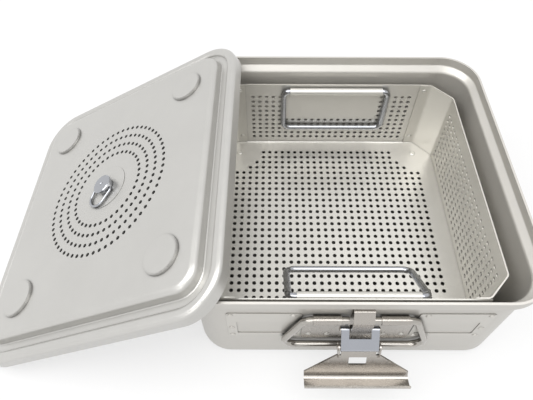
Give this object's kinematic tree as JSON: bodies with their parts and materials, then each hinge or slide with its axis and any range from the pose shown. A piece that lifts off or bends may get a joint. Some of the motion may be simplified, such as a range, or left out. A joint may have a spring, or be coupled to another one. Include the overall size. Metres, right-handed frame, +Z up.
{
  "type": "sterilization container",
  "caption": "Rigid sterilization container: lidded metal tub with a perforated instrument basket, folding handles and hinged lever latches, shown open.",
  "frame": {"origin": "centre of the tub's underside, on the table", "axes": "+Z up, -Y to the front with the label frames, -X to the side where the lid leans"},
  "size_m": [0.4919, 0.3458, 0.1545],
  "materials": {
    "tub_aluminium": "satin anodised",
    "lid_aluminium": "satin anodised",
    "trim_aluminium": "satin",
    "basket_steel": "brushed",
    "steel": "brushed",
    "polished_steel": "polished",
    "gasket": "matt silicone",
    "filter_paper": "matt"
  },
  "bodies": {
    "tub": {"tub_shell": "tub_aluminium", "handle_hinge_front": "steel", "handle_hinge_back": "steel", "latch_bracket_front": "steel", "latch_bracket_back": "steel", "latch_rods": "steel", "label_frame_left": "trim_aluminium", "label_frame_right": "trim_aluminium", "hinge_rivets": "trim_aluminium", "label_rivets": "trim_aluminium"},
    "basket": {"basket_floor": "basket_steel", "basket_side_left": "basket_steel", "basket_side_right": "basket_steel", "bail_clip_front": "steel", "bail_clip_back": "steel", "basket_feet": "basket_steel", "basket_rivets": "basket_steel"},
    "front_bail": {"bail_front": "polished_steel"},
    "back_bail": {"bail_back": "polished_steel"},
    "front_handle": {"handle_front": "steel"},
    "back_handle": {"handle_back": "steel"},
    "front_link": {"latch_link_front": "steel"},
    "back_link": {"latch_link_back": "steel"},
    "front_lever": {"latch_lever_front": "steel", "latch_pin_front": "steel"},
    "back_lever": {"latch_lever_back": "steel", "latch_pin_back": "steel"},
    "lid": {"lid_shell": "lid_aluminium", "lid_gasket": "gasket", "filter_disc": "filter_paper", "retention_plate": "trim_aluminium"},
    "knob": {"knob_spindle": "polished_steel"},
    "ring": {"knob_ring": "polished_steel"}
  },
  "joints": [
    {"name": "lid_lift", "type": "slide", "parent": "tub", "child": "lid", "axis": [-0.5201, 0, 0.8541], "range_m": [0, 0.3]},
    {"name": "basket_lift", "type": "slide", "parent": "tub", "child": "basket", "axis": [0, 0, 1], "range_m": [0, 0.15]},
    {"name": "front_bail_swing", "type": "hinge", "parent": "basket", "child": "front_bail", "pos_m": [-0.0005, -0.11715, 0.1015], "axis": [1, 0, 0], "range_deg": [-45, 134]},
    {"name": "back_bail_swing", "type": "hinge", "parent": "basket", "child": "back_bail", "pos_m": [-0.0005, 0.11715, 0.1015], "axis": [-1, 0, 0], "range_deg": [0, 180]},
    {"name": "front_latch_link", "type": "hinge", "parent": "tub", "child": "front_link", "pos_m": [0, -0.1386, 0.0858], "axis": [-1, 0, 0], "range_deg": [0, 85]},
    {"name": "back_latch_link", "type": "hinge", "parent": "tub", "child": "back_link", "pos_m": [0, 0.1386, 0.0858], "axis": [1, 0, 0], "range_deg": [0, 85]},
    {"name": "front_latch_lever", "type": "hinge", "parent": "front_link", "child": "front_lever", "pos_m": [0, -0.14882, 0.07362], "axis": [-1, 0, 0], "range_deg": [0, 70]},
    {"name": "back_latch_lever", "type": "hinge", "parent": "back_link", "child": "back_lever", "pos_m": [0, 0.14882, 0.07362], "axis": [1, 0, 0], "range_deg": [0, 70]},
    {"name": "front_handle_swing", "type": "hinge", "parent": "tub", "child": "front_handle", "pos_m": [0, -0.13495, 0.097], "axis": [-1, 0, 0], "range_deg": [0, 90]},
    {"name": "back_handle_swing", "type": "hinge", "parent": "tub", "child": "back_handle", "pos_m": [0, 0.13495, 0.097], "axis": [1, 0, 0], "range_deg": [0, 90]},
    {"name": "knob_turn", "type": "hinge", "parent": "lid", "child": "knob", "pos_m": [-0.233, -0.003, 0.08954], "axis": [-0.5201, 0, 0.8541], "range_deg": [-60, 30]},
    {"name": "knob_ring_swing", "type": "hinge", "parent": "knob", "child": "ring", "pos_m": [-0.23451, -0.003, 0.09201], "axis": [-0.7397, 0.5, -0.4504], "range_deg": [0, 100]}
  ],
  "couplings": [
    {"joint": "basket_lift", "follows": "lid_lift", "ratio": 0.5},
    {"joint": "front_handle_swing", "follows": "front_latch_link", "ratio": 1.0588},
    {"joint": "back_handle_swing", "follows": "back_latch_link", "ratio": 1.0588}
  ]
}
